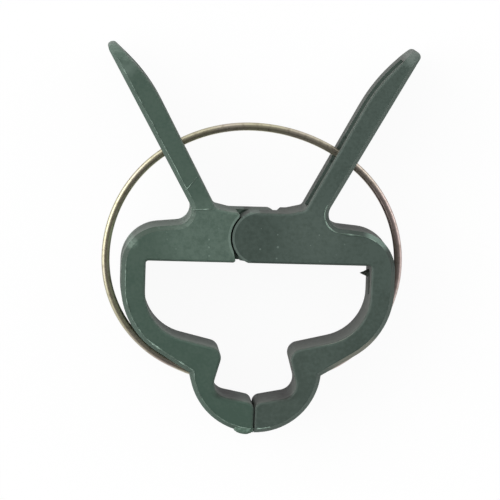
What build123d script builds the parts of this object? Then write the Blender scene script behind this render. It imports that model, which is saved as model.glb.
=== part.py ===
# Spring clip that holds an orchid stem to its stake: two moulded levers and one ring of spring wire.
# The clip lies flat, as it rests on a table and as it grips an upright stem:
# X runs across it, Y from the jaws to the handles, and Z up along the pivot. Sizes are in millimetres.
import os
from math import acos, asin, cos, degrees, dist, pi, radians, sin, sqrt

from build123d import *

# Both levers, which are the same moulding
depth = 10.0               # height of a lever along the pivot
outer_bevel = 0.65         # bevel on the edges that face out of the clip
inner_round = 0.45         # softened edges round the two windows and between the handles
tip_gap = 0.1              # gap between the closed jaw tips

# Knuckle: a round tongue on one half of the depth, a hollow for the other lever's tongue on the other
knuckle_radius = 4.2
knuckle_gap = 0.25         # running gap round the tongue
lap_gap = 0.1              # gap between the two tongues at mid depth
hub_top = 3.9              # from the pivot up to the top of the hub
hub_bottom = 3.9           # from the pivot down to the underside of the hub
tongue_heel = 3.0          # from the pivot out to the lower corner of the tongue
heel_rise = 0.45           # how far that corner lies above the underside of the hub
heel_gap = 0.6             # gap beside that corner
heel_corner = 0.3          # corner of the hollow that is cut off there
hollow_top = 3.1           # from the pivot out to the cut back upper corner of the hollow
hollow_flare = 0.5         # how far that corner is cut back again at its end

# Handle, as corners out from the pivot and up from it
handle_root_out = 6.85     # inner edge, where it leaves the hub
root_rise = 0.55           # from the top of the hub up to that corner
rise_round = 3.0
root_round = 0.8
handle_bend_out = 17.35    # inner edge, where it starts to thin towards the tip
handle_bend_up = 24.0
bend_round = 26.0
tip_run_out = 5.45         # from that bend to the tip
tip_run_up = 5.15
tip_width = 1.55
tip_round = 0.75
tip_corner = 3.0           # round of the tip's corners, seen along the clip
tip_crown = 0.05           # where that round would end outside the faces, so it meets them at an angle
handle_foot_out = 9.15     # outer edge, where it meets the shoulder
handle_foot_up = 2.0
foot_round = 2.2
pocket_depth = 0.8         # long pocket in the inner face
pocket_rim = 0.8           # rim left between the pocket and the flat face
pocket_width = 4.5
pocket_start = 0.6         # along the inner edge, from the hub
pocket_end = 2.2           # along the inner edge, from the tip

# Jaw
window_out = 17.3          # upright wall of the stem window
wall = 3.7                 # thickness of that wall
window_corner = 0.4
shoulder_up = 0.85
shoulder_round = 6.1
floor_drop = 14.5          # stem window floor below the pivot, at the wall
floor_round = 7.6
bump_out = 4.95            # bump that narrows the clip between its two windows
bump_drop = 17.45
bump_round = 1.7
stake_out = 6.85           # outer corner of the stake window
stake_drop = 24.25
stake_round = 2.2
tip_top_drop = 25.6
tip_top_round = 1.25
lobe_radius = 10.15        # round underside of the jaw, about a point below the pivot
lobe_drop = 20.0
notch_drop = 21.1          # notch between the jaw's belly and its lobe, where the ring ends
belly_drop = 14.35
belly_round = 11.9

# Ring: round wire bent to one oval of tangent arcs, in the middle of the depth
wire = 1.25
ring_standoff = 1.6        # from the jaw's side to the middle of the wire
ring_drop = 3.95           # widest place of the ring, below the pivot
ring_rise = 20.65          # from there up to the top of the oval
ring_fall = 19.05          # from there down to the bottom that a closed oval would have
ring_upper_turn = 51.0     # degrees up the side at which the top arc takes over
ring_lower_turn = 64.0     # degrees down the side at which the bottom arcs take over
ring_drift = 0.8           # the ring has slipped this far to the left in its channel
ring_lean = 0.8            # its top leans this far to the left, and its bottom to the right
channel_gap = 0.1          # gap that is left there, in the plane of the ring
wire_gap = 0.2             # gap above and below the wire, and beyond its ends
neck_wall = 0.8            # plastic left between the channel's ends and the stake window

up = (0, 0, 1)
half_width = window_out + wall
ring_reach = half_width + ring_standoff
handle_tip_out = handle_bend_out + tip_run_out
handle_tip_up = handle_bend_up + tip_run_up
handle_root_up = hub_top + root_rise
tip_side = tip_gap / 2
mid_depth = depth / 2
hub_over = hub_top + hub_bottom
hollow_radius = knuckle_radius + knuckle_gap


def lever_profile():
    """Outline of a lever from its notch, round the handle and the hub, to the jaw tip and the lobe."""
    lobe_tip = -lobe_drop - sqrt(lobe_radius**2 - tip_side**2)
    notch_out = sqrt(lobe_radius**2 - (notch_drop - lobe_drop) ** 2)
    corners = [
        ((half_width, -belly_drop), belly_round),
        ((half_width, shoulder_up), shoulder_round),
        ((handle_foot_out, handle_foot_up), foot_round),
        ((handle_tip_out + tip_width, handle_tip_up), tip_round),
        ((handle_tip_out, handle_tip_up), 0),
        ((handle_bend_out, handle_bend_up), bend_round),
        ((handle_root_out, handle_root_up), root_round),
        ((hollow_radius, hub_top), rise_round),
        ((-hub_over, hub_top), 0),
        ((-hub_over, -hub_bottom), 0),
        ((window_out, -hub_bottom), window_corner),
        ((window_out, -floor_drop), floor_round),
        ((bump_out, -bump_drop), bump_round),
        ((stake_out, -stake_drop), stake_round),
        ((tip_side, -tip_top_drop), tip_top_round),
    ]
    points = [(notch_out, -notch_drop)] + [corner for corner, _ in corners] + [(tip_side, lobe_tip)]
    edge = FilletPolyline(*points, radius=[bend for _, bend in corners])
    start = -degrees(acos(tip_side / lobe_radius))
    end = -degrees(asin((notch_drop - lobe_drop) / lobe_radius))
    lobe = CenterArc((0, -lobe_drop), lobe_radius, start, end - start)
    return make_face(edge.edges() + lobe.edges())


def on_outside(edge):
    """Whether an edge of the outline belongs to the outside of the clip."""
    middle = edge @ 0.5
    if middle.Y > 0:
        lean = (handle_tip_out - handle_foot_out) / (handle_tip_up - handle_foot_up)
        return middle.X > handle_foot_out + lean * (middle.Y - handle_foot_up) - inner_round
    on_lobe = dist((middle.X, middle.Y), (0, -lobe_drop)) > lobe_radius - 2 * outer_bevel
    below = middle.Y < -bump_drop and middle.X > tip_width and on_lobe
    return below or middle.X > window_out + inner_round


def on_handle(edge):
    """Whether an edge runs along the inside of the handle and the top of the hub."""
    return (edge @ 0.5).Y > 0 and not on_outside(edge)


def on_window(edge):
    """Whether an edge runs round the windows, from the underside of the hub to the jaw tip."""
    middle = edge @ 0.5
    return -tip_top_drop - tip_top_round < middle.Y < -hub_bottom / 2 and not on_outside(edge)


def soften_edges(lever):
    """Bevel the outer edges of both flat faces and round the inner ones, one run of edges at a time."""
    for chosen in (on_outside, on_handle, on_window):
        for side in (0, -1):
            flat = lever.faces().filter_by(Plane.XY).sort_by(Axis.Z)[side]
            edges = [edge for edge in flat.outer_wire().edges() if (edge @ 0.5).X > -hub_over / 2]
            run = [edge for edge in edges if chosen(edge)]
            lever = chamfer(run, outer_bevel) if chosen is on_outside else fillet(run, inner_round)
    return lever


def tongue_waste():
    """What comes off the end of the hub to leave a round tongue with a fuller heel below."""
    end = Pos(-hub_over, 0) * Rectangle(2 * hub_over, 2 * hub_over)
    heel = Polygon(
        (0, 0),
        (-knuckle_radius, 0),
        (-tongue_heel, -hub_bottom + heel_rise),
        (0, -hub_bottom),
        align=None,
    )
    return end - Circle(knuckle_radius) - heel


def hollow_profile():
    """Room for the other lever's tongue, with its corners cut back so that the jaws can open."""
    hollow_bottom = tongue_heel + heel_gap
    mouth = Polygon(
        (-2 * hub_over, -hub_over),
        (hollow_bottom + heel_corner, -hub_over),
        (hollow_bottom + heel_corner, -hub_bottom),
        (hollow_bottom, -hub_bottom + heel_corner),
        (hollow_radius, 0),
        (hollow_top, hub_top - hollow_flare),
        (hollow_top + hollow_flare, hub_top),
        (hollow_top + hollow_flare, hub_over),
        (-2 * hub_over, hub_over),
        align=None,
    )
    return mouth + Circle(hollow_radius)


def tip_waste():
    """What comes off the corners of the handle's tip, seen along the clip, to leave them round."""
    end = Pos(handle_tip_up, mid_depth) * Rectangle(2 * tip_corner, 2 * depth)
    side = depth + 2 * tip_crown
    kept = Pos(handle_tip_up + tip_crown - side / 2, mid_depth) * RectangleRounded(side, side, tip_corner)
    return Plane.YZ * (end - kept)


def handle_pocket():
    """Long pocket that follows the inner face of the handle, between its front rim and mid depth."""
    root, bend = Vector(handle_root_out, handle_root_up), Vector(handle_bend_out, handle_bend_up)
    tip = Vector(handle_tip_out, handle_tip_up)
    first = root + (bend - root).normalized() * pocket_start
    last = tip - (tip - bend).normalized() * pocket_end
    band = trace(FilletPolyline(first, bend, last, radius=bend_round), line_width=2 * pocket_depth)
    return Pos(0, 0, depth - pocket_rim - pocket_width) * extrude(band, amount=pocket_width, dir=up)


def arc_radii(across, rise, turn):
    """Radii of the side arc and the cap arc that together make a quarter of an oval."""
    lead = (across - rise) / (sin(radians(turn)) + cos(radians(turn)) - 1)
    return across - lead * cos(radians(turn)), rise + lead * sin(radians(turn))


def right_half(lean, end_out):
    """Arcs of the ring's right half from its end to the top: middle, radius, starting angle and turn."""
    lower, bottom = arc_radii(ring_reach - lean, ring_fall, ring_lower_turn)
    upper, top = arc_radii(ring_reach + lean, ring_rise, ring_upper_turn)
    end_turn = degrees(acos((end_out - lean) / bottom))
    return [
        (lean, bottom - ring_fall - ring_drop, bottom, -end_turn, end_turn - ring_lower_turn),
        (ring_reach - lower, -ring_drop, lower, -ring_lower_turn, ring_lower_turn),
        (ring_reach - upper, -ring_drop, upper, 0, ring_upper_turn),
        (-lean, ring_rise - ring_drop - top, top, ring_upper_turn, 90 - ring_upper_turn),
    ]


def left_half(lean, end_out):
    """Arcs of the ring's left half from the top to its end: the mirror image of a right half."""
    arcs = right_half(-lean, end_out)[::-1]
    return [(-x, y, radius, 180 - start - turn, turn) for x, y, radius, start, turn in arcs]


def tangent_line(arcs):
    """Line made of arcs that run into each other."""
    return Wire([CenterArc((x, y), radius, start, turn) for x, y, radius, start, turn in arcs])


def along_ring(section, path):
    """Solid with one section all along the ring's line, at mid depth."""
    start = Plane(origin=path @ 0, z_dir=path % 0, x_dir=(0, 0, 1))
    return Pos(0, 0, mid_depth) * sweep(start * section, path=path)


def least_gap(path):
    """Least gap between parts of the ring that are more than a tenth of its length apart."""
    steps = 120
    points = [path @ (k / steps) for k in range(steps + 1)]
    pairs = [(a, b) for a in range(steps + 1) for b in range(a + steps // 10, steps + 1)]
    return min((points[a] - points[b]).length for a, b in pairs) - wire


def channel(arcs, play):
    """Room for the wire along some arcs, with play to both sides in the plane of the ring."""
    section = Rectangle(wire + 2 * wire_gap, wire + 2 * (play + channel_gap))
    return along_ring(section, tangent_line(arcs))


channel_end = stake_out + neck_wall
jaw_run = right_half(0, channel_end)[:2]
handle_run = right_half(0, channel_end)[2:]
x, y, radius, start, turn = handle_run[0]
handle_run[0] = (x, y, radius, turn / 2, turn / 2)

lever = soften_edges(extrude(lever_profile(), amount=depth, dir=up))
lever -= extrude(tongue_waste(), amount=depth, dir=up)
lever -= extrude(hollow_profile(), amount=mid_depth + lap_gap / 2, dir=up)
lever -= extrude(tip_waste(), amount=2 * half_width, dir=(1, 0, 0))
lever -= handle_pocket()
lever -= channel(jaw_run, ring_drift)
lever -= channel(handle_run, ring_drift + ring_lean)

end_out = channel_end + ring_drift + wire_gap
line = tangent_line(right_half(ring_lean, end_out) + left_half(ring_lean, end_out))
nodes = {
    "left_lever": Pos(0, 0, depth) * Rot(0, 180, 0) * lever,
    "right_lever": lever,
    "ring_spring": Pos(-ring_drift, 0, 0) * along_ring(Circle(wire / 2), line),
}

os.makedirs("parts", exist_ok=True)
for name, shape in nodes.items():
    export_step(shape, f"parts/{name}.step")
    print(name, "volume", round(shape.volume, 1), "valid", shape.is_valid)

share = nodes["ring_spring"].volume / (pi * wire**2 / 4 * line.length)
print("ring length", round(line.length, 2), "least gap to itself", round(least_gap(line), 2))
print("ring volume over section times length", round(share, 4))
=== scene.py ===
import bpy
import bmesh
from math import acos, copysign, cos, pi, radians, sin
from mathutils import Matrix, Vector, noise


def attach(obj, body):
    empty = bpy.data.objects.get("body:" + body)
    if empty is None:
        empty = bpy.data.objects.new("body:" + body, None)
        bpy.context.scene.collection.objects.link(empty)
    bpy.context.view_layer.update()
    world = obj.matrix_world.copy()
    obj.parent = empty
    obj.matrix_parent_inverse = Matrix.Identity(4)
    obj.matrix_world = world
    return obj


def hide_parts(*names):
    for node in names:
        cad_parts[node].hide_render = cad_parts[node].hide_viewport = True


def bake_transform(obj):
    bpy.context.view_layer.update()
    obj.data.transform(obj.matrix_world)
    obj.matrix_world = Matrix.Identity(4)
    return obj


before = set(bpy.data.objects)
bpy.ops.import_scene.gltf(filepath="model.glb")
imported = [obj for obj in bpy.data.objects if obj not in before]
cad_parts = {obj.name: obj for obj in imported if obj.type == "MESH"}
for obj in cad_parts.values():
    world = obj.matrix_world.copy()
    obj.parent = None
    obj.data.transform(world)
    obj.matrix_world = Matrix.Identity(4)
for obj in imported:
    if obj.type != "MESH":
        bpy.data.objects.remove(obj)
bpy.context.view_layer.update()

# Left lever: a dark green polypropylene moulding, with a hazy, speckled hub where the mould has worn.
# Its front is hollowed for the other lever's tongue, and the ring presses the two together.

mm = 0.001
polypropylene_ior = 1.49


def srgb(code):
    """Linear colour of an sRGB hex code."""
    parts = [int(code[k:k + 2], 16) / 255 for k in (1, 3, 5)]
    return [c / 12.92 if c <= 0.04045 else ((c + 0.055) / 1.055) ** 2.4 for c in parts] + [1.0]


def node(tree, kind, sockets=None, **settings):
    """Add a shader node. Settings are its properties, sockets its inputs: links, values or hex codes."""
    made = tree.nodes.new("ShaderNode" + kind)
    for key, value in settings.items():
        setattr(made, key, value)
    for key, value in (sockets or {}).items():
        if isinstance(value, bpy.types.NodeSocket):
            tree.links.new(value, made.inputs[key])
        else:
            made.inputs[key].default_value = srgb(value) if isinstance(value, str) else value
    return made


def new_material(name):
    """Empty node material, with its tree and its shader."""
    material = bpy.data.materials.new(name)
    material.use_nodes = True
    return material, material.node_tree, material.node_tree.nodes["Principled BSDF"]


def oval_patch(tree, place, middle, reach, share):
    """Share that is full in the middle of an oval patch of the front and fades out at its edge."""
    full_within, gone_beyond = 0.5, 1.2  # of the reach
    middle, reach = Vector(middle) * mm, Vector(reach) * mm
    spread = node(
        tree,
        "Mapping",
        {
            "Vector": place,
            "Location": (-middle.x / reach.x, -middle.y / reach.y, 0),
            "Scale": (1 / reach.x, 1 / reach.y, 0),
        },
    )
    away = node(tree, "VectorMath", {0: spread.outputs["Vector"]}, operation="LENGTH")
    return node(
        tree,
        "MapRange",
        {"Value": away.outputs["Value"], "From Min": gone_beyond, "From Max": full_within, "To Max": share},
        interpolation_type="SMOOTHSTEP",
    ).outputs["Result"]


# Polypropylene from a finely etched mould: the eye sees a satin skin without mirror images, clouded and
# speckled on the flat faces. The greyer sides and the darker and paler bevels are painted sheen, shade and
# light. Sizes are in mm.
def moulded_polypropylene(name, face, dark, side, shaded_bevel, lit_bevel, speck, rim, patches, painted_highlights=()):
    """Finish of one lever. A colour Mix has its two colours on sockets 6 and 7, and gives output 2."""
    material, tree, shader = new_material(name)
    spot = node(tree, "TexCoord")
    place = spot.outputs["Object"]
    along = node(tree, "SeparateXYZ", {0: place})

    # Clouds from the melt's flow, darker towards the jaw tip, with a finer mottle
    cloud_size, mottle_size, mottle_weight = 3, 0.5, 1.2
    jaw_tip, hub_edge = -30, -4
    cloud = node(
        tree,
        "TexNoise",
        {"Vector": place, "Scale": 1 / (cloud_size * mm), "Detail": 4, "Roughness": 0.6},
    )
    darker_to_tip = node(
        tree,
        "MapRange",
        {
            "Value": along.outputs["Y"],
            "From Min": jaw_tip * mm,
            "From Max": hub_edge * mm,
            "To Min": -0.35,
            "To Max": 0.15,
        },
    )
    mixed = node(tree, "Math", {0: cloud.outputs["Fac"], 1: darker_to_tip.outputs["Result"]}, operation="ADD")
    mottle = node(tree, "TexNoise", {"Vector": place, "Scale": 1 / (mottle_size * mm), "Detail": 3})
    mixed = node(
        tree,
        "Math",
        {0: mottle.outputs["Fac"], 1: mottle_weight, 2: mixed.outputs[0]},
        operation="MULTIPLY_ADD",
    )
    clouds = node(tree, "MapRange", {"Value": mixed.outputs[0], "From Min": 0.8, "From Max": 1.35})
    colour = node(tree, "Mix", {0: clouds.outputs["Result"], 6: dark, 7: face}, data_type="RGBA").outputs[2]

    # The sides are painted greyer, a painted sheen and shade. The bevels are painted darker where they face
    # the handles and paler where they face the jaws' end, painted shade and light, and painted highlights
    # lie on some of them
    bevel_tilt, bevel_margin = cos(pi / 4), 0.03
    facing = node(tree, "SeparateXYZ", {0: spot.outputs["Normal"]})
    flat = node(tree, "Math", {0: facing.outputs["Z"]}, operation="ABSOLUTE")
    on_face = node(tree, "MapRange", {"Value": flat.outputs[0], "From Min": 0.2, "From Max": 0.9})
    faced = on_face.outputs["Result"]
    colour = node(tree, "Mix", {0: faced, 6: side, 7: colour}, data_type="RGBA").outputs[2]
    on_bevel = node(tree, "Math", {0: flat.outputs[0], 1: bevel_tilt, 2: bevel_margin}, operation="COMPARE")
    # Painted shade on bevels facing the handles, painted light on those facing the jaws' end
    lower = node(tree, "MapRange", {"Value": facing.outputs["Y"], "From Min": 0.15, "From Max": -0.45})
    edge = node(tree, "Mix", {0: lower.outputs["Result"], 6: shaded_bevel, 7: lit_bevel}, data_type="RGBA").outputs[2]
    # Painted highlights on the bevels
    for tone, middle, reach, share in painted_highlights:
        highlight = oval_patch(tree, place, middle, reach, share)
        edge = node(tree, "Mix", {0: highlight, 6: edge, 7: tone}, data_type="RGBA").outputs[2]
    colour = node(tree, "Mix", {0: on_bevel.outputs[0], 6: colour, 7: edge}, data_type="RGBA").outputs[2]

    # Worn and scuffed patches, and patches of painted shade, each broken up by a mottle of its own size
    for tone, middle, reach, share, grain_size in patches:
        blotch = node(
            tree,
            "TexNoise",
            {"Vector": place, "Scale": 1 / (grain_size * mm), "Detail": 3, "Roughness": 0.65},
        )
        broken = node(
            tree,
            "MapRange",
            {"Value": blotch.outputs["Fac"], "From Min": 0.36, "From Max": 0.62, "To Min": 0.3},
        )
        patch = oval_patch(tree, place, middle, reach, share)
        worn = node(tree, "Math", {0: patch, 1: broken.outputs["Result"]}, operation="MULTIPLY")
        colour = node(tree, "Mix", {0: worn.outputs[0], 6: colour, 7: tone}, data_type="RGBA").outputs[2]

    # Pale band along the round seam of the knuckle, on the left of the pivot
    seam_half_width, seam_share = 0.17, 0.3
    flat_place = node(tree, "Mapping", {"Vector": place, "Scale": (1, 1, 0)})
    radius = node(tree, "VectorMath", {0: flat_place.outputs["Vector"]}, operation="LENGTH")
    band = node(
        tree,
        "Math",
        {0: radius.outputs["Value"], 1: rim * mm, 2: seam_half_width * mm},
        operation="COMPARE",
    )
    on_left = node(tree, "Math", {0: along.outputs["X"], 1: 0.0}, operation="LESS_THAN")
    seam = node(tree, "Math", {0: band.outputs[0], 1: on_left.outputs[0]}, operation="MULTIPLY")
    soft = node(tree, "Math", {0: seam.outputs[0], 1: seam_share}, operation="MULTIPLY")
    colour = node(tree, "Mix", {0: soft.outputs[0], 6: colour, 7: speck}, data_type="RGBA").outputs[2]

    # Pale dust specks round the hub, in about one cell of six. They are 0.1 to 0.35 mm across, which is
    # coarser than real dust, so that they show
    dust_cell, dusty_cells = 1.3, 0.18
    least_speck, most_speck = 0.04, 0.14  # radius, as a share of the cell
    hub_reach, hub_share = (16, 6), 0.4
    cells = node(
        tree,
        "TexVoronoi",
        {"Vector": place, "Scale": 1 / (dust_cell * mm)},
        voronoi_dimensions="2D",
    )
    pick = node(tree, "SeparateColor", {"Color": cells.outputs["Color"]})
    grown = node(
        tree,
        "MapRange",
        {"Value": pick.outputs["Green"], "To Min": least_speck, "To Max": most_speck},
    )
    near = node(
        tree,
        "Math",
        {0: grown.outputs["Result"], 1: cells.outputs["Distance"]},
        operation="GREATER_THAN",
    )
    some = node(tree, "Math", {0: pick.outputs["Red"], 1: dusty_cells}, operation="LESS_THAN")
    dust = node(tree, "Math", {0: near.outputs[0], 1: some.outputs[0]}, operation="MULTIPLY")
    on_hub = oval_patch(tree, place, (0, 0), hub_reach, hub_share)
    dusty = node(tree, "Math", {0: dust.outputs[0], 1: on_hub}, operation="MULTIPLY")
    colour = node(tree, "Mix", {0: dusty.outputs[0], 6: colour, 7: speck}, data_type="RGBA").outputs[2]
    tree.links.new(colour, shader.inputs["Base Color"])

    # The mould's etched grain, drawn coarser than the real one so that it shows
    etched_grain, etched_depth = 0.25, 0.04
    rough = node(tree, "MapRange", {"Value": mottle.outputs["Fac"], "To Min": 0.46, "To Max": 0.64})
    tree.links.new(rough.outputs["Result"], shader.inputs["Roughness"])
    grain = node(tree, "TexNoise", {"Vector": place, "Scale": 1 / (etched_grain * mm), "Detail": 2})
    bump = node(
        tree,
        "Bump",
        {"Height": grain.outputs["Fac"], "Strength": 0.15, "Distance": etched_depth * mm},
    )
    tree.links.new(bump.outputs["Normal"], shader.inputs["Normal"])
    shader.inputs["IOR"].default_value = polypropylene_ior
    shader.inputs["Specular IOR Level"].default_value = 0.3
    return material


left_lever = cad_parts["left_lever"]
left_lever.data.materials[0] = moulded_polypropylene(
    "moulded polypropylene, hazy at the hub",
    face="#4f6257",
    dark="#455a4f",
    # The side and bevel colours are painted sheen, shade and light
    side="#616a63",
    shaded_bevel="#435248",
    lit_bevel="#57695f",
    speck="#8fa499",
    rim=4.65,
    # Tone, middle, reach, share and mottle of each patch
    patches=[
        ("#7b8f83", (-7.5, 0), (8.5, 6), 0.32, 0.8),  # haze on the hub
        ("#7d9386", (-19.6, -1.2), (1.1, 0.9), 0.6, 0.5),  # pale patch at the shoulder's corner
        ("#74867c", (-22, 27.5), (3, 4.5), 0.6, 3),  # scuffed handle tip
        ("#201d1c", (-2.8, -24.2), (3.6, 1.1), 0.95, 3),  # painted shade on the stake window's floor
        ("#1f2823", (-2, 3.5), (1.1, 0.9), 1, 3),  # painted shade in the hollow's upper corner
    ],
)

# Left lever's burrs: thin ridges of plastic that the mould's parting edge left along the bevels. They are
# part of the moulding.

burr_step, burr_sides, least_burr = 0.25, 6, 0.004
burr_long_wave, burr_short_wave = 2.0, 0.6
jaw_top, handle_foot = -3, 6


def raw_polypropylene(name, blotch_size, low, high, dark, pale, roughness, detail=3):
    """Polypropylene that no mould face has smoothed, in blotches of two tones."""
    material, tree, shader = new_material(name)
    place = node(tree, "TexCoord").outputs["Object"]
    blotch = node(tree, "TexNoise", {"Vector": place, "Scale": 1 / (blotch_size * mm), "Detail": detail})
    share = node(tree, "MapRange", {"Value": blotch.outputs["Fac"], "From Min": low, "From Max": high})
    tone = node(tree, "Mix", {0: share.outputs["Result"], 6: dark, 7: pale}, data_type="RGBA")
    tree.links.new(tone.outputs[2], shader.inputs["Base Color"])
    shader.inputs["Roughness"].default_value = roughness
    shader.inputs["IOR"].default_value = polypropylene_ior
    return material


# A burr is thin and scuffed, so the eye sees a broken pale line
pale_burr = raw_polypropylene(
    "scuffed polypropylene burr",
    blotch_size=1.5,
    low=0.4,
    high=0.62,
    dark="#54665b",
    pale="#8fa699",
    roughness=0.5,
)


def runs_of(edges):
    """Points along each unbroken run of edges, in an order that is the same each time."""
    left = list(edges)
    runs = []
    while left:
        first = left.pop()
        run = list(first.verts)
        for _ in range(2):
            while True:
                tip = run[-1]
                onward = [edge for edge in tip.link_edges if edge in left]
                if not onward:
                    break
                left.remove(onward[0])
                run.append(onward[0].other_vert(tip))
            run.reverse()
        runs.append([vert.co.copy() for vert in run])
    return runs


def bevel_edges(lever, inside):
    """Runs of edges where a lever's flat faces meet its bevels, within a region."""
    least_tilt, most_tilt, flat_tilt = 0.5, 0.9, 0.999
    form = bmesh.new()
    form.from_mesh(lever.data)
    bmesh.ops.remove_doubles(form, verts=form.verts, dist=0.001 * mm)
    form.normal_update()
    chosen = []
    for edge in form.edges:
        if len(edge.link_faces) != 2 or not inside((edge.verts[0].co + edge.verts[1].co) / 2):
            continue
        sloped, flat = sorted(abs(face.normal.z) for face in edge.link_faces)
        if flat > flat_tilt and least_tilt < sloped < most_tilt:
            chosen.append(edge)
    runs = runs_of(chosen)
    form.free()
    return runs


def evenly(points, step):
    """Points at even steps along a line."""
    spaced = [points[0]]
    for a, b in zip(points, points[1:]):
        count = max(1, round((b - a).length / step))
        spaced += [a.lerp(b, k / count) for k in range(1, count + 1)]
    return spaced


def laid_out(name, data):
    """Object of a mesh or a curve, put in the scene."""
    made = bpy.data.objects.new(name, data)
    bpy.context.scene.collection.objects.link(made)
    return made


def round_bar(name, runs, sides):
    """One mesh of round bars. Each run holds points and the bar's radius there."""
    line = bpy.data.curves.new(name, "CURVE")
    line.dimensions = "3D"
    line.bevel_depth = 1.0
    line.bevel_resolution = sides // 2 - 2
    line.use_fill_caps = True
    for run in runs:
        spline = line.splines.new("POLY")
        spline.points.add(len(run) - 1)
        for point, (where, radius) in zip(spline.points, run):
            point.co = (*where, 1.0)
            point.radius = radius
    drawn = laid_out(name, line)
    bpy.context.view_layer.update()
    mesh = bpy.data.meshes.new_from_object(drawn.evaluated_get(bpy.context.evaluated_depsgraph_get()))
    bpy.data.objects.remove(drawn)
    bpy.data.curves.remove(line)
    mesh.name = name
    mesh.shade_smooth()
    return laid_out(name, mesh)


def burr(name, body, runs, thin, thick):
    """Ridge along runs of edges, whose radius comes and goes between thin and thick."""
    bars = []
    for run in runs:
        bar = []
        for where in evenly(run, burr_step * mm):
            slow = noise.noise(where / (burr_long_wave * mm))
            quick = noise.noise(where / (burr_short_wave * mm))
            swell = 0.55 + 0.5 * slow + 0.5 * quick
            radius = thin + (thick - thin) * min(1, max(0, swell)) ** 1.5
            bar.append((where, max(least_burr, radius) * mm))
        bars.append(bar)
    ridge = round_bar(name, bars, burr_sides)
    ridge.data.materials.append(pale_burr)
    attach(ridge, body)


def at_jaw(where):
    return where.y < jaw_top * mm


def at_handle(where):
    return where.y > handle_foot * mm


burr("left_jaw_burr", "left_lever", bevel_edges(left_lever, at_jaw), 0.0, 0.15)
burr("left_handle_burr", "left_lever", bevel_edges(left_lever, at_handle), 0.0, 0.09)

# Left lever's flash: a scab of plastic that leaked at the parting line under the jaw tip, and two nicks
# across the handle's root, whose torn edges stand up pale. All are part of the moulding.

flash_place, flash_size, flash_swell = (-1.5, -29.65, 9.7), (1.5, 0.72, 0.3), 0.16
scratches = [
    [(-11.5, 7.1, 10), (-10.6, 8.2, 10), (-9.9, 9.15, 10)],
    [(-11.0, 4.15, 10), (-9.0, 4.2, 10), (-7.1, 4.3, 10)],
]

# Flash is thin enough to let light in, so the eye sees it milky
flash = raw_polypropylene(
    "thin polypropylene flash",
    blotch_size=0.6,
    low=0.38,
    high=0.62,
    dark="#587062",
    pale="#7f9b8c",
    roughness=0.45,
)


def piece_of(name, form):
    """Object of a finished bmesh, put in the scene."""
    mesh = bpy.data.meshes.new(name)
    form.to_mesh(mesh)
    form.free()
    return laid_out(name, mesh)


def plastic_scab(name, body, material, place, size, swell):
    """Rough lump of plastic, sunk half into the lever that carries it."""
    lumps, fall, finer, layers = 1.6, 0.9, 2.0, 4
    form = bmesh.new()
    bmesh.ops.create_icosphere(form, subdivisions=4, radius=1.0)
    for vert in form.verts:
        vert.co *= 1 + swell * noise.fractal(vert.co * lumps + Vector(place), fall, finer, layers)
    bmesh.ops.scale(form, vec=[s * mm for s in size], verts=form.verts)
    bmesh.ops.translate(form, vec=Vector(place) * mm, verts=form.verts)
    for face in form.faces:
        face.smooth = True
    scab = piece_of(name, form)
    scab.data.materials.append(material)
    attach(scab, body)


plastic_scab("left_jaw_flash", "left_lever", flash, flash_place, flash_size, flash_swell)
nicks = [[Vector(point) * mm for point in line] for line in scratches]
burr("left_handle_scratches", "left_lever", nicks, 0.02, 0.1)

# Right lever: the same polypropylene moulding, turned over, so that its tongue is in front. It is a little
# greyer and cleaner than its partner, with burrs on the shoulder and at the jaw tip only.

right_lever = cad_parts["right_lever"]
right_lever.data.materials[0] = moulded_polypropylene(
    "moulded polypropylene",
    face="#4e5c55",
    dark="#424f48",
    # The side and bevel colours are painted sheen, shade and light
    side="#50544f",
    shaded_bevel="#404b45",
    lit_bevel="#6c7a72",
    speck="#84958c",
    rim=4.02,
    patches=[
        ("#3c4942", (-1.5, 0), (5.5, 6), 0.7, 0.7),  # darker tongue
        ("#66746c", (8.5, 1), (5.5, 5), 0.26, 0.8),  # haze on the hub
        ("#808a84", (22.8, 28.6), (1.5, 2), 0.35, 3),  # scuffed handle tip
        ("#647169", (4.5, -27), (4.2, 3.2), 0.22, 0.8),  # haze on the lobe
        ("#647169", (9.5, -20.5), (7.5, 6), 0.13, 0.8),  # haze on the neck
        ("#201d1c", (2.8, -24.2), (3.6, 1.1), 0.95, 3),  # painted shade on the stake window's floor
    ],
    # Tone, middle, reach and share of each painted highlight: the shoulder's corner and the belly's
    # underside
    painted_highlights=[
        ("#7a9085", (18.3, 0.4), (2.2, 2.2), 0.8),
        ("#a3a294", (14.5, -17.2), (5.5, 3.5), 0.75),
    ],
)

shoulder_foot, shoulder_end = -1.5, 17.8
tip_top, tip_end = -25, 2.4


def at_shoulder(where):
    return shoulder_foot * mm < where.y < handle_foot * mm and where.x < shoulder_end * mm


def at_tip(where):
    return where.y < tip_top * mm and where.x < tip_end * mm


burr("right_shoulder_burr", "right_lever", bevel_edges(right_lever, at_shoulder), 0.02, 0.13)
burr("right_jaw_burr", "right_lever", bevel_edges(right_lever, at_tip), 0.04, 0.13)

# Right lever's gate: the torn stub where the plastic was fed in, a thorn on the window's upright wall,
# with the dark scar of the tear below it. Both are part of the moulding.

window_wall = 17.3
thorn_root, thorn_tip, thorn_height = 0.7, 0.06, 1.4
thorn_sunk, thorn_along, thorn_up = 0.1, -5.5, 5.2
thorn_ragged, thorn_rag_size, thorn_seed = 0.08, 0.5, 1
scar_place, scar_size, scar_swell = (window_wall + 0.05, -7.2, 6.2), (0.17, 1.8, 2.0), 0.2

# Torn plastic is fibrous and takes dirt, so the eye sees it dark and dull
torn = raw_polypropylene(
    "torn polypropylene",
    blotch_size=0.4,
    low=0.4,
    high=0.65,
    dark="#23291f",
    pale="#3d453c",
    roughness=0.7,
    detail=4,
)

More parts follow.
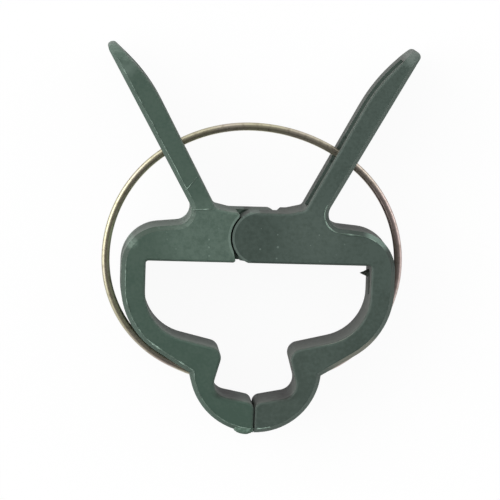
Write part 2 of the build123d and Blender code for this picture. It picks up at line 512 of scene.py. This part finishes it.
form = bmesh.new()
bmesh.ops.create_cone(
    form,
    cap_ends=True,
    segments=14,
    radius1=thorn_root * mm,
    radius2=thorn_tip * mm,
    depth=thorn_height * mm,
)
bmesh.ops.subdivide_edges(form, edges=form.edges, cuts=2, use_grid_fill=True)
noise.seed_set(thorn_seed)  # without it, this kind of noise starts from the clock
for vert in form.verts:
    vert.co += thorn_ragged * mm * noise.noise_vector(vert.co / (thorn_rag_size * mm))
bmesh.ops.rotate(form, matrix=Matrix.Rotation(radians(-90), 3, "Y"), verts=form.verts)
thorn_place = Vector((window_wall - thorn_height / 2 + thorn_sunk, thorn_along, thorn_up)) * mm
bmesh.ops.translate(form, vec=thorn_place, verts=form.verts)
thorn = piece_of("right_jaw_gate_thorn", form)
thorn.data.materials.append(torn)
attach(thorn, "right_lever")
plastic_scab("right_jaw_gate_scar", "right_lever", torn, scar_place, scar_size, scar_swell)

# Ring: one length of spring steel wire, wound to an open oval and plated with yellow zinc. It threads
# both handles, its ends lie in the jaws, and it has slipped a little to the left.

wire, wire_sides, mid_depth = 1.25, 20, 5
ring_reach, ring_drop, ring_rise, ring_fall = 22.6, 3.95, 20.65, 19.05
upper_turn, lower_turn = radians(51), radians(64)
ring_drift, ring_lean = 0.8, 0.8
ring_end = 8.65
ring_step = radians(1.5)


def arc_radii(across, rise, turn):
    """Radii of the side arc and of the end arc of a quarter oval, which meet at the turn."""
    lead = (across - rise) / (sin(turn) + cos(turn) - 1)
    return across - lead * cos(turn), rise + lead * sin(turn)


def quarter_oval(across, rise, turn, last):
    """Points of a quarter oval of two tangent arcs, from its side to the angle where it ends."""
    side, cap = arc_radii(across, rise, turn)
    points = []
    angle = 0.0
    while angle < last:
        if angle < turn:
            points.append((across - side + side * cos(angle), side * sin(angle)))
        else:
            points.append((cap * cos(angle), rise - cap + cap * sin(angle)))
        angle += ring_step
    points.append((cap * cos(last), rise - cap + cap * sin(last)))
    return points


def ring_half(hand):
    """Points of the ring's left (-1) or right (1) half, from its end up to its top."""
    lean = hand * ring_lean
    _, cap = arc_radii(ring_reach - lean, ring_fall, lower_turn)
    lower = quarter_oval(ring_reach - lean, ring_fall, lower_turn, acos((ring_end - lean) / cap))
    upper = quarter_oval(ring_reach + lean, ring_rise, upper_turn, pi / 2)
    half = [(hand * (x + lean), -y - ring_drop) for x, y in reversed(lower)]
    return half + [(hand * (x - lean), y - ring_drop) for x, y in upper[1:]]


route = ring_half(1) + ring_half(-1)[::-1][1:]
centre = [Vector((x - ring_drift, y, mid_depth)) * mm for x, y in route]
ring = round_bar("ring_spring_wire", [[(where, wire / 2 * mm) for where in centre]], wire_sides)

# Yellow zinc on drawn wire: the eye sees a soft metal shine that goes from straw to pink across the ring,
# with small dull spots
tarnish_size, spot_size = 7, 0.8
pink_way, straw_end, pink_end = (0.75, -0.66, 0), -18, 12
plated, tree, shader = new_material("spring steel wire, yellow zinc plated")
place = node(tree, "TexCoord").outputs["Object"]
tarnish = node(tree, "TexNoise", {"Vector": place, "Scale": 1 / (tarnish_size * mm), "Detail": 1})
along = node(tree, "VectorMath", {0: place, 1: pink_way}, operation="DOT_PRODUCT")
sided = node(
    tree,
    "MapRange",
    {
        "Value": along.outputs["Value"],
        "From Min": straw_end * mm,
        "From Max": pink_end * mm,
        "To Min": -0.2,
        "To Max": 0.2,
    },
)
hue = node(tree, "Math", {0: tarnish.outputs["Fac"], 1: sided.outputs["Result"]}, operation="ADD")
tint = node(tree, "ValToRGB", {"Fac": hue.outputs[0]})
straw, pink = tint.color_ramp.elements
straw.position, straw.color = 0.3, srgb("#dcd6b8")
pink.position, pink.color = 0.68, srgb("#dcc8c2")
tint.color_ramp.elements.new(0.5).color = srgb("#ddd3c0")
dull = node(tree, "TexNoise", {"Vector": place, "Scale": 1 / (spot_size * mm), "Detail": 3})
spots = node(
    tree,
    "MapRange",
    {"Value": dull.outputs["Fac"], "From Min": 0.52, "From Max": 0.72, "To Max": 0.5},
)
coat = node(
    tree,
    "Mix",
    {0: spots.outputs["Result"], 6: tint.outputs["Color"], 7: "#8d7f66"},
    data_type="RGBA",
)
tree.links.new(coat.outputs[2], shader.inputs["Base Color"])
shader.inputs["Metallic"].default_value = 1.0
shine = node(tree, "MapRange", {"Value": dull.outputs["Fac"], "To Min": 0.23, "To Max": 0.37})
tree.links.new(shine.outputs["Result"], shader.inputs["Roughness"])
ring.data.materials.append(plated)

# The legs, below the ring's drop, are spread straight while the ring's placement is applied, and then put
# back. With these ends the wire clears both handles' slots.
shape = [vert.co.copy() for vert in ring.data.vertices]
for vert in ring.data.vertices:
    if vert.co.y < -ring_drop * mm:
        vert.co.x = copysign(ring_reach * mm, vert.co.x)
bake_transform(ring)
for vert, where in zip(ring.data.vertices, shape):
    vert.co = where
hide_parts("ring_spring")

# Studio: the clip lies on a white paper sheet inside a white tent, with a dark opening overhead for the
# lens. The tent's upper side is brighter, and its lower side lies in shade.

sheet_half, sheet_drop = 1.5, 0.2
form = bmesh.new()
bmesh.ops.create_grid(form, x_segments=1, y_segments=1, size=sheet_half)
floor = piece_of("floor", form)
floor.location.z = -sheet_drop * mm

# Matt paper: the lens and the wire's mirror images see it white, with the clip's faint shadow. To the
# light it is grey, so that little bounces back under the clip
lens_share, mirror_share, paper_white = 0.92, 0.57, 1.02
paper, tree, shader = new_material("white paper sheet")
shader.inputs["Roughness"].default_value = 0.9
path = node(tree, "LightPath")
sheet_colour = node(
    tree,
    "Mix",
    {0: path.outputs["Is Camera Ray"], 6: "#6a6a6a", 7: "#f4f4f4"},
    data_type="RGBA",
)
tree.links.new(sheet_colour.outputs[2], shader.inputs["Base Color"])
seen = node(tree, "Math", {0: path.outputs["Is Camera Ray"], 1: lens_share}, operation="MULTIPLY")
mirrored = node(
    tree,
    "Math",
    {0: path.outputs["Is Glossy Ray"], 1: path.outputs["Is Transmission Ray"]},
    operation="MAXIMUM",
)
faint = node(tree, "Math", {0: mirrored.outputs[0], 1: mirror_share}, operation="MULTIPLY")
share = node(tree, "Math", {0: seen.outputs[0], 1: faint.outputs[0]}, operation="MAXIMUM")
glow = node(tree, "Emission", {"Color": "#ffffff", "Strength": paper_white})
mixed = node(tree, "MixShader", {"Fac": share.outputs[0], 1: shader.outputs[0], 2: glow.outputs[0]})
tree.links.new(mixed.outputs[0], tree.nodes["Material Output"].inputs["Surface"])
floor.data.materials.append(paper)

# Tent: dim overhead, where the opening is tipped to the right, dim towards the jaws, bright on both flanks
opening_tip = 0.3
world = bpy.data.worlds.new("studio")
bpy.context.scene.world = world
world.use_nodes = True
tree = world.node_tree
way = node(tree, "SeparateXYZ", {0: node(tree, "TexCoord").outputs["Generated"]})
tipped = node(
    tree,
    "Math",
    {0: way.outputs["X"], 1: opening_tip, 2: way.outputs["Z"]},
    operation="MULTIPLY_ADD",
)
height = node(
    tree,
    "MapRange",
    {"Value": tipped.outputs[0], "From Min": 0.25, "From Max": 0.75, "To Min": 1.0, "To Max": 0.22},
)
side = node(
    tree,
    "MapRange",
    {"Value": way.outputs["Y"], "From Min": -0.6, "From Max": 0.4, "To Min": 0.25, "To Max": 1.0},
)
beside = node(tree, "Math", {0: way.outputs["X"]}, operation="ABSOLUTE")
flanks = node(
    tree,
    "MapRange",
    {"Value": beside.outputs[0], "From Min": 0.5, "From Max": 0.9, "To Min": 1.0, "To Max": 2.8},
)
tent = node(tree, "Math", {0: height.outputs["Result"], 1: side.outputs["Result"]}, operation="MULTIPLY")
tent = node(tree, "Math", {0: tent.outputs[0], 1: flanks.outputs["Result"]}, operation="MULTIPLY")
path = node(tree, "LightPath")
dimmed = node(tree, "MapRange", {"Value": path.outputs["Is Glossy Ray"], "To Min": 2.0, "To Max": 1.0})
light = node(tree, "Math", {0: tent.outputs[0], 1: dimmed.outputs["Result"]}, operation="MULTIPLY")
tree.links.new(light.outputs[0], tree.nodes["Background"].inputs["Strength"])
tree.nodes["Background"].inputs["Color"].default_value = srgb("#ffffff")

# Camera: nearly overhead, a little to the left and to the handles' side, fitted to the photo. The pivot's
# place is in photo pixels from the picture's middle, at the height of the clip's front
lean, tilt, roll, far = radians(-3.2), radians(6.4), radians(-1.77), 0.6
per_pixel, picture_side, film_width = 0.153 * mm, 500, 36
pivot_right, pivot_up, front = 9.7, 11.7, 10
away = Vector((sin(lean) * cos(tilt), sin(tilt), cos(lean) * cos(tilt)))
across = Vector((0, 1, 0)).cross(away).normalized()
upward = away.cross(across)
image_right = cos(roll) * across - sin(roll) * upward
image_up = sin(roll) * across + cos(roll) * upward
aim = Vector((0, 0, front * mm)) - image_right * pivot_right * per_pixel - image_up * pivot_up * per_pixel
lens = bpy.data.cameras.new("camera")
lens.sensor_width = film_width
lens.lens = film_width * far / (picture_side * per_pixel)
camera = laid_out("camera", lens)
turned = Matrix((image_right, image_up, away)).transposed().to_4x4()
camera.matrix_world = Matrix.Translation(aim + away * far) @ turned
bpy.context.scene.camera = camera
bpy.context.scene.view_settings.view_transform = "Standard"
